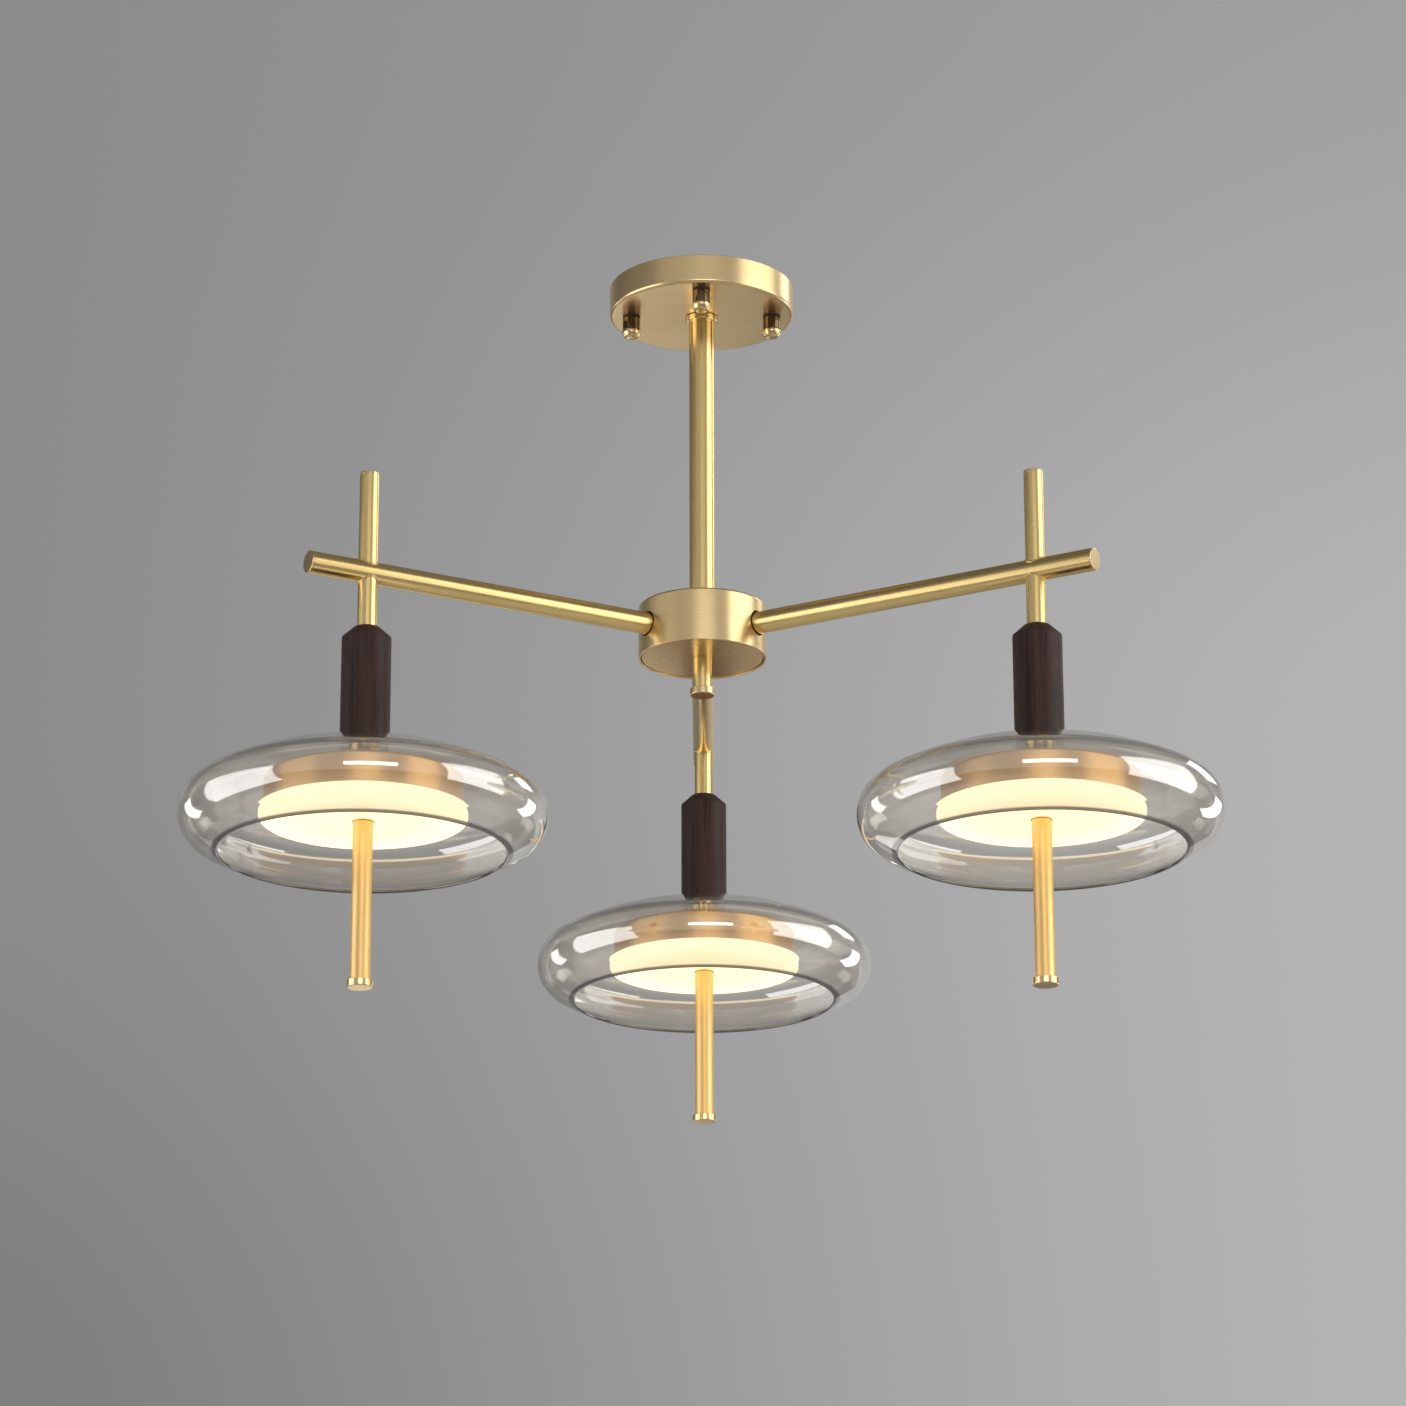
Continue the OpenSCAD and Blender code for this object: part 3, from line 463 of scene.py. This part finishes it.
lamps = {name: sizeOf(name + "_lamp_rod") for name in lampNames}
azimuth = {name: math.atan2(lamp["y"], lamp["x"]) for name, lamp in lamps.items()}

canopyLook = {"edge": 2.2, "wall": 1.2, "rimEdge": 0.4, "mouthEdge": 0.3, "mouthGap": 0.3}
stemLook = {"wall": 1.5, "lowEdge": 0.2, "highEdge": 0.3, "collarEdge": 0.7, "collarTopEdge": 0.3, "collarBore": 0.15}


def canopyPieces():
    size = sizeOf("canopy")
    stem = sizeOf("stem")
    r, low, high, wall = size["radius"], size["low"], size["high"], canopyLook["wall"]
    hole = stem["radius"] + canopyLook["mouthGap"]
    shell = [(hole, low, canopyLook["mouthEdge"]), (r, low, canopyLook["edge"]), (r, high, canopyLook["rimEdge"]),
             (r - wall, high, canopyLook["rimEdge"]), (r - wall, low + wall, canopyLook["edge"] - wall),
             (hole, low + wall, canopyLook["mouthEdge"])]
    standFor(turned("canopyShell", shell, upright(size), "spun_brass", True, 160, 8), "canopy")
    stemR, bore = stem["radius"], stem["radius"] - stemLook["wall"]
    tube = [(bore, stem["low"], stemLook["lowEdge"]), (stemR, stem["low"], stemLook["lowEdge"]),
            (stemR, stem["high"], stemLook["highEdge"]), (bore, stem["high"], stemLook["highEdge"])]
    standFor(turned("stemTube", tube, upright(stem), "tube_brass", True), "stem")
    collar = sizeOf("stem_collar")
    ring = [(stemR, collar["low"], stemLook["collarBore"]), (collar["radius"], collar["low"], stemLook["collarEdge"]),
            (collar["radius"], collar["high"], stemLook["collarTopEdge"]),
            (stemR, collar["high"], stemLook["collarBore"])]
    standFor(turned("stemCollarRing", ring, upright(collar), "turned_brass", True), "stem_collar")


nutLook = {"radius": 5.6, "bead": 0.3, "dome": 5.0, "tip": 0.72, "tipRise": 0.35, "tipEdge": 2.6, "waist": 1.8,
           "waistEdge": 2.4, "groove": 0.45, "grooveWidth": 0.5}


def capNuts():
    # a fuller domed end, a fine groove and a plain round shank whose near-black brass is a painted dark reflection;
    # the four domes stand for the node
    size = sizeOf("canopy_cap_nuts")
    look = nutLook
    low, high, shankR = size["low"], size["high"], look["radius"]
    domeR = shankR + look["bead"]
    ringR = size["radius"] - domeR
    domeTop = low + look["dome"]
    grooveTop = domeTop + look["grooveWidth"]
    dome = [(0, low, 0), (domeR * look["tip"], low + look["tipRise"], look["tipEdge"]),
            (domeR, domeTop - look["waist"], look["waistEdge"]), (domeR, domeTop, 0.3), (0, domeTop, 0)]
    shank = [(0, domeTop, 0), (shankR - look["groove"], domeTop, 0), (shankR - look["groove"], grooveTop, 0.1),
             (shankR, grooveTop, 0.2), (shankR, high, 0.3), (0, high, 0)]
    domes = []
    for quarter in range(4):
        angle = quarter * math.pi / 2
        place = Matrix.Translation((ringR * mm * math.cos(angle), ringR * mm * math.sin(angle), 0))
        domes.append(turned(f"capNutDome{quarter}", dome, place, "turned_brass", False, 64, 8))
        # the shank's near-black brass is a painted dark reflection
        sleeve = turned(f"capNutShank{quarter}", shank, place, "dark_brass", False, 64, 8)
        goWith(sleeve, "canopy_cap_nuts")
    shareNode(domes, "canopy_cap_nuts")


canopyPieces()
capNuts()
print("canopy and stem made")

hubLook = {"edge": 1.6, "wall": 1.5, "rimEdge": 0.35, "stemHole": 5.2, "armGap": 1.0, "cutFrom": 30.0,
           "cutTo": 50.0, "coverEdge": 0.5, "sharpAngle": 32.0}
capLook = {"edge": 0.7, "topEdge": 0.4}
rodSegments = 80


def hubPieces():
    # a drum turned from its section, with a round hole cut for each arm
    size = sizeOf("hub_shell")
    r, low, high, wall = size["radius"], size["low"], size["high"], hubLook["wall"]
    hole = hubLook["stemHole"]
    shell = [(r - wall, low, hubLook["rimEdge"]), (r, low, hubLook["rimEdge"]), (r, high, hubLook["edge"]),
             (hole, high, 0.2), (hole, high - wall, 0.2), (r - wall, high - wall, 0.3)]
    hub = turned("hubDrum", shell, upright(size), "spun_brass", True, 192, 8)
    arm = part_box("back_arm")
    cutR = (arm[1].z - arm[0].z) / 2 / mm + hubLook["armGap"]
    armZ = (arm[1].z + arm[0].z) / 2
    bar = roundBar(cutR, hubLook["cutFrom"], hubLook["cutTo"], 0.01, 0.01)
    for name in lampNames:
        cutter = turned("cut", bar, Matrix.Translation((0, 0, armZ)) @ Matrix.Rotation(azimuth[name], 4, "Z")
                        @ Matrix.Rotation(math.pi / 2, 4, "Y"), "spun_brass", False, 64, 2)
        cut = hub.modifiers.new("armHole", "BOOLEAN")
        cut.operation, cut.object, cut.solver = "DIFFERENCE", cutter, "EXACT"
        bpy.context.view_layer.update()
        cutMesh = bpy.data.meshes.new_from_object(hub.evaluated_get(bpy.context.evaluated_depsgraph_get()))
        hub.modifiers.clear()
        hub.data = cutMesh
        bpy.data.objects.remove(cutter)
    mesh = hub.data
    place = np.empty(len(mesh.vertices) * 3)
    mesh.vertices.foreach_get("co", place)
    if "local" in mesh.attributes:
        mesh.attributes.remove(mesh.attributes["local"])
    mesh.attributes.new("local", "FLOAT_VECTOR", "POINT").data.foreach_set("vector", place)
    mesh.materials.clear()
    mesh.materials.append(materials["spun_brass"])
    mesh.polygons.foreach_set("use_smooth", np.ones(len(mesh.polygons), bool))
    mesh.set_sharp_from_angle(angle=math.radians(hubLook["sharpAngle"]))
    standFor(hub, "hub_shell")
    cover = sizeOf("hub_cover")
    disc = roundBar(cover["radius"], cover["low"], cover["high"], hubLook["coverEdge"])
    standFor(turned("hubCoverDisc", disc, upright(cover), "spun_brass", False, 160), "hub_cover")
    rod = sizeOf("finial_rod")
    cap = sizeOf("finial_cap")
    body = roundBar(rod["radius"], rod["low"], rod["high"])
    standFor(turned("finialRod", body, upright(rod), "tube_brass", False, rodSegments), "finial_rod")
    end = roundBar(cap["radius"], cap["low"], rod["low"], capLook["edge"], capLook["topEdge"])
    standFor(turned("finialCap", end, upright(cap), "turned_brass", False, rodSegments), "finial_cap")


hubPieces()
print("hub made")

armLook = {"blockRadius": 15.0, "endDisc": 1.48, "endChamfer": 0.55, "seam": 0.18}


def armPieces(name):
    # a round bar from the hub's block to the end disc; gives the disc, the arm's radius and its height
    low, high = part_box(name + "_arm")
    armR = (high.z - low.z) / 2 / mm
    armZ = (high.z + low.z) / 2
    direction = azimuth[name]
    reach = max(abs(low.y), abs(high.y)) / mm
    tubeEnd = (reach - armR * abs(math.cos(direction))) / abs(math.sin(direction))
    place = (Matrix.Translation((0, 0, armZ)) @ Matrix.Rotation(direction, 4, "Z")
             @ Matrix.Rotation(math.pi / 2, 4, "Y"))
    tube = roundBar(armR, armLook["blockRadius"], tubeEnd, 0.2, armLook["seam"])
    standFor(turned(name + "ArmTube", tube, place, "tube_brass"), name + "_arm")
    end = tubeEnd + armLook["endDisc"]
    disc = [(0, tubeEnd, 0), (armR - 0.1, tubeEnd, armLook["seam"]), (armR, tubeEnd + 0.2, 0.1),
            (armR, end, armLook["endChamfer"]), (0, end, 0)]
    return turned(name + "ArmEnd", disc, place, "turned_brass"), armR, armZ


brazeLook = {"bead": 0.55, "outShift": 0.35, "upShift": 0.15, "pathSteps": 96, "sectionSteps": 12}


def brazedBead(name, armR, rodR, armZ, side):
    # bead of braze where the upright rod (radius b) meets the level arm (radius a):
    # the path is (b cos t, b sin t, sqrt(a^2 - b^2 sin^2 t)), swept with a small round section
    look = brazeLook
    bead, pathSteps, sectionSteps = look["bead"], look["pathSteps"], look["sectionSteps"]
    t = np.linspace(0, 2 * np.pi, pathSteps, endpoint=False)[:, None]
    s = np.linspace(0, 2 * np.pi, sectionSteps, endpoint=False)[None, :]
    pathZ = np.sqrt(armR ** 2 - (rodR * np.sin(t)) ** 2)
    outward = rodR + bead * look["outShift"] + bead * np.cos(s)
    x, y = outward * np.cos(t), outward * np.sin(t)
    z = side * (pathZ + bead * look["upShift"] + bead * np.sin(s))
    local = np.stack([x, y, z], -1).reshape(-1, 3) * mm
    normal = np.stack([np.cos(s) * np.cos(t), np.cos(s) * np.sin(t), side * np.sin(s) + 0 * t], -1).reshape(-1, 3)
    quads = gridQuads(pathSteps, sectionSteps, pathSteps)
    place = Matrix.Translation((lamps[name]["x"], lamps[name]["y"], armZ)) @ Matrix.Rotation(azimuth[name], 4, "Z")
    where = "Upper" if side > 0 else "Lower"
    piece = meshPiece(name + "Braze" + where, local, normal, quads, place, materials["turned_brass"])
    goWith(piece, name + "_arm")


rodLook = {"seam": 0.18, "topEdge": 0.55, "ferruleStep": 0.5}


def rodPieces(name):
    # lamp rod and lower rod; gives the pieces that share a node: the rod's top, the end cap and the ferrule
    rod = lamps[name]
    top = sizeOf("rod_top_plugs")["high"]
    tube = roundBar(rod["radius"], rod["low"], rod["high"], 0.2, rodLook["seam"])
    standFor(turned(name + "LampRod", tube, upright(rod), "tube_brass", False, rodSegments), name + "_lamp_rod")
    disc = roundBar(rod["radius"], rod["high"], top, rodLook["seam"], rodLook["topEdge"])
    plug = turned(name + "RodTop", disc, upright(rod), "turned_brass", False, rodSegments)
    lower = sizeOf(name + "_lower_rod")
    body = roundBar(lower["radius"], lower["low"], lower["high"])
    # the lower rod's orange tint is painted glow from the lit diffuser
    standFor(turned(name + "LowerRod", body, upright(lower), "painted_glow_rod_brass", False, rodSegments), name + "_lower_rod")
    foot = sizeOf("lower_caps")["low"]
    capShape = roundBar(sizeOf("finial_cap")["radius"], foot, lower["low"], capLook["edge"], capLook["topEdge"])
    cap = turned(name + "LowerCap", capShape, upright(lower), "turned_brass", False, rodSegments)
    ring = sizeOf("rod_ferrules")
    ringShape = roundBar(lower["radius"] + rodLook["ferruleStep"], ring["low"], ring["high"])
    return plug, cap, turned(name + "Ferrule", ringShape, upright(lower), "raw_brass", False, rodSegments)


armEnds, rodTops, lowerCaps, ferrules = [], [], [], []
for lampName in lampNames:
    endPiece, armRadius, armHeight = armPieces(lampName)
    armEnds.append(endPiece)
    for upDown in (1, -1):
        brazedBead(lampName, armRadius, lamps[lampName]["radius"], armHeight, upDown)
    topPiece, capPiece, ferrulePiece = rodPieces(lampName)
    rodTops.append(topPiece)
    lowerCaps.append(capPiece)
    ferrules.append(ferrulePiece)
shareNode(armEnds, "arm_end_plugs")
shareNode(rodTops, "rod_top_plugs")
shareNode(lowerCaps, "lower_caps")
shareNode(ferrules, "rod_ferrules")
print("arms and rods made")

handleLook = {"bevelWidth": 7.0, "bevelHeight": 6.5, "bevelEdge": 0.8, "topEdge": 0.5, "foot": 0.9}


def handlePiece(name):
    size = sizeOf(name + "_handle")
    r, low, high = size["radius"], size["low"], size["high"]
    look = handleLook
    shape = [(0, low, 0), (r, low, look["foot"]), (r, high - look["bevelHeight"], look["bevelEdge"]),
             (r - look["bevelWidth"], high, look["topEdge"]), (0, high, 0)]
    standFor(turned(name + "Handle", shape, upright(size), "walnut", False, 128), name + "_handle")


shadeLook = {"bead": 20.0, "wall": 2.0, "mouth": 86.8, "crown": 42.0, "seat": 15.0, "seatEdge": 0.5, "hole": 5.25,
             "holeEdge": 0.3, "crownSteps": 30, "beadSteps": 36, "bellySteps": 8, "lipSteps": 10}


def shadePiece(name):
    # section of the glass: crown and belly arcs of one radius joined by a tighter bead, that radius being
    # (bead centre squared + crown squared - bead squared) over twice (crown - bead);
    # inner faces offset by the wall, the mouth closed by a half circle
    size = sizeOf(name + "_shade")
    look = shadeLook
    halfWidth, top = size["radius"], size["high"]
    bead, wall, crown, seat = look["bead"], look["wall"], look["crown"], look["seat"]
    beadCentre = halfWidth - bead
    bigR = (beadCentre ** 2 + crown ** 2 - bead ** 2) / (2 * (crown - bead))
    drop = bigR - crown
    seatHeight = math.sqrt(bigR ** 2 - seat ** 2) - drop
    equator = top - seatHeight
    turn = math.atan2(drop, beadCentre)
    rim = math.acos(look["mouth"] / bigR)
    inner = bigR - wall
    seatAngle = math.acos(seat / bigR)
    innerSeat = math.acos(seat / inner)
    lipR = bigR - wall / 2
    lipX, lipZ = lipR * math.cos(rim), equator + drop - lipR * math.sin(rim)
    runs = [
        arcPoints(0, equator - drop, bigR, seatAngle, turn, look["crownSteps"]),
        arcPoints(beadCentre, equator, bead, turn, -turn, look["beadSteps"], 1),
        arcPoints(0, equator + drop, bigR, -turn, -rim, look["bellySteps"], 1),
        arcPoints(lipX, lipZ, wall / 2, -rim, -rim - math.pi, look["lipSteps"], 1),
        arcPoints(0, equator + drop, inner, -rim, -turn, look["bellySteps"], 1),
        arcPoints(beadCentre, equator, bead - wall, -turn, turn, look["beadSteps"], 1),
        arcPoints(0, equator - drop, inner, turn, innerSeat, look["crownSteps"], 1),
    ]
    under = runs[-1][0][-1]
    hole, edge, seatEdge = look["hole"], look["holeEdge"], look["seatEdge"]
    flat = np.array([[under[0] - seatEdge, under[1]], [hole + edge, under[1]], [hole, under[1] + edge],
                     [hole, top - edge], [hole + edge, top], [seat - seatEdge, top]])
    flatTravel = np.array([[-1, 0], [-1, 0], [0, 1], [0, 1], [1, 0], [1, 0]], float)
    profile = np.concatenate([points for points, travel in runs] + [flat]) * mm
    travel = np.concatenate([travel for points, travel in runs] + [flatTravel])
    grid = turnedGrid(profile, travel, 160, True)
    standFor(meshPiece(name + "Shade", *grid, upright(size), materials["smoked_glass"]), name + "_shade")


panLook = {"edge": 2.2, "wall": 1.2, "rim": 0.3, "hole": 5.25, "holeEdge": 0.2, "innerEdge": 1.0}


def panPiece(name):
    size = sizeOf(name + "_pan")
    look = panLook
    r, low, high, wall, hole = size["radius"], size["low"], size["high"], look["wall"], look["hole"]
    shape = [(hole, high, look["holeEdge"]), (hole, high - wall, look["holeEdge"]),
             (r - wall, high - wall, look["innerEdge"]), (r - wall, low, look["rim"]), (r, low, look["rim"]),
             (r, high, look["edge"])]
    # the pan's orange brass is painted glow
    standFor(turned(name + "Pan", shape, upright(size), "painted_glow_pan_brass", True, 160, 8), name + "_pan")


diffuserLook = {"edge": 4.5, "thickness": 6.0, "ring": 2.0, "ringGap": 0.2}


def diffuserPiece(name):
    size = sizeOf(name + "_diffuser")
    r, low = size["radius"], size["low"]
    top = low + diffuserLook["thickness"]
    ring = sizeOf(name + "_pan")["radius"] - panLook["wall"] - diffuserLook["ringGap"]
    ringInner = ring - diffuserLook["ring"]
    shape = [(0, low, 0), (r, low, diffuserLook["edge"]), (r, top, 0.4), (ring, top, 0.2),
             (ring, size["high"], 0.3), (ringInner, size["high"], 0.3), (ringInner, top, 0.2), (0, top, 0)]
    standFor(turned(name + "Diffuser", shape, upright(size), "opal_diffuser", False, 160, 10), name + "_diffuser")


spacerLook = {"flange": 9.0, "flangeHeight": 3.0, "edge": 0.4}


def spacerPiece(name):
    spacers = sizeOf("shade_spacers")
    lamp = lamps[name]
    r, flange, edge = lamp["radius"], spacerLook["flange"], spacerLook["edge"]
    low, high = spacers["low"], spacers["high"]
    under = high - spacerLook["flangeHeight"]
    shape = [(0, low, 0), (r, low, 0.2), (r, under, edge), (flange, under, edge), (flange, high, 0.3),
             (0, high, 0)]
    return turned(name + "Spacer", shape, upright(lamp), "turned_brass", False, rodSegments)


spacerPieces = []
for lampName in lampNames:
    handlePiece(lampName)
    shadePiece(lampName)
    panPiece(lampName)
    diffuserPiece(lampName)
    spacerPieces.append(spacerPiece(lampName))
shareNode(spacerPieces, "shade_spacers")
print("lamps made")

floorLook = {"drop": 1.75, "half": 9.0, "colour": (0.84, 0.83, 0.82), "roughness": 0.7, "speck": 20.0}


def floorPiece():
    # a flat square well below the lamp
    look = floorLook
    half = look["half"]
    z = cadBox[0][2] - look["drop"]
    mesh = bpy.data.meshes.new("floor")
    mesh.from_pydata([(-half, -half, z), (half, -half, z), (half, half, z), (-half, half, z)], [], [(0, 1, 2, 3)])
    mesh.materials.append(moulded("floorPaint", look["colour"], look["roughness"], speck=look["speck"]))
    piece = bpy.data.objects.new("floor", mesh)
    bpy.context.scene.collection.objects.link(piece)


# from and to along one axis of the direction looked in, and the tones there
roomLook = {
    "left": (0.16, 0.30, 0.205, 0.262), "right": (0.30, 0.45, 0.462, 0.35), "across": (-0.17, 0.17, 0.0, 1.0),
    "ahead": (0.62, 0.87, 0.5, 1.0), "behind": (-0.2, -0.7, 0.0, 0.42),
}


def worldLight():
    # even grey room, a little darker on the left than on the right
    look = roomLook
    world = bpy.data.worlds.new("room")
    world.use_nodes = True
    room = NodeMaker(world.node_tree)
    x, y, z = room.split(room.objectPlace())
    left = z.step(*look["left"])
    right = z.step(*look["right"])
    wall = left + (right - left) * x.step(*look["across"])
    tone = (wall * y.step(*look["ahead"])).atLeast(y.step(*look["behind"]))
    back = room.node("ShaderNodeBackground", {}, {"Color": tone})
    room.node("ShaderNodeOutputWorld", {}, {"Surface": back.outputs[0]})
    bpy.context.scene.world = world


# "tone" is the brightness of the light's face, in the same scale as the room's tones
softLights = {
    "keyRight": {"at": (2.4, -0.6, 0.0), "size": (2.3, 2.4), "tone": 1.9, "colour": (1.0, 0.985, 0.96)},
    "fillLeft": {"at": (-2.4, -0.5, -0.6), "size": (2.4, 2.1), "tone": 1.75, "colour": (0.98, 0.99, 1.0)},
    "frontStrip": {"at": (0.3, -3.5, 0.2), "size": (2.0, 0.7), "tone": 3.2, "colour": (1.0, 0.99, 0.97)},
    "rimHigh": {"at": (2.2, 1.8, 1.25), "size": (0.9, 0.9), "tone": 2.6, "colour": (1.0, 0.99, 0.97)},
    "rimRight": {"at": (2.2, 1.8, -0.8), "size": (0.6, 1.6), "tone": 2.8, "colour": (1.0, 1.0, 1.0)},
    "rimLeft": {"at": (-2.2, 1.6, -0.7), "size": (0.5, 1.4), "tone": 1.8, "colour": (1.0, 1.0, 1.0)},
    "backLow": {"at": (-0.5, 3.6, -1.75), "size": (1.0, 0.8), "tone": 0.85, "colour": (1.0, 0.99, 0.97)},
}


def softLightPiece(name, look, target):
    light = bpy.data.lights.new(name, "AREA")
    light.shape = "RECTANGLE"
    light.size, light.size_y = look["size"]
    light.energy = look["tone"] * math.pi * light.size * light.size_y
    light.color = look["colour"]
    lamp = bpy.data.objects.new(name, light)
    lamp.location = look["at"]
    lamp.rotation_euler = (target - Vector(look["at"])).to_track_quat("-Z", "Y").to_euler()
    lamp.visible_camera = False
    bpy.context.scene.collection.objects.link(lamp)


cameraLook = {"sideways": 0.00786, "distance": 2.9163, "height": -1.2257, "pitch": 0.3143, "yaw": -0.0026,
              "roll": -0.0026, "lens": 126.07, "sensor": 36.0, "farEnd": 60.0}


def cameraPiece():
    # level distance, height and pitch of the viewpoint; the camera looks up at the lamp
    look = cameraLook
    data = bpy.data.cameras.new("camera")
    data.lens = look["lens"]
    data.sensor_width = look["sensor"]
    data.clip_end = look["farEnd"]
    camera = bpy.data.objects.new("camera", data)
    forward = Vector((math.sin(look["yaw"]) * math.cos(look["pitch"]),
                      math.cos(look["yaw"]) * math.cos(look["pitch"]), math.sin(look["pitch"])))
    right = Vector((math.cos(look["yaw"]), -math.sin(look["yaw"]), 0))
    up = right.cross(forward)
    turnedRight = right * math.cos(look["roll"]) + up * math.sin(look["roll"])
    turnedUp = up * math.cos(look["roll"]) - right * math.sin(look["roll"])
    basis = Matrix((turnedRight, turnedUp, -forward)).transposed()
    at = Matrix.Translation((look["sideways"], -look["distance"], look["height"]))
    camera.matrix_world = at @ basis.to_4x4()
    bpy.context.scene.collection.objects.link(camera)
    bpy.context.scene.camera = camera


floorPiece()
worldLight()
middle = (Vector(cadBox[0]) + Vector(cadBox[1])) / 2
for lightName, lightLook in softLights.items():
    softLightPiece(lightName, lightLook, middle)
cameraPiece()
bpy.context.scene.view_settings.view_transform = "Standard"
print("stage, lights and camera made")
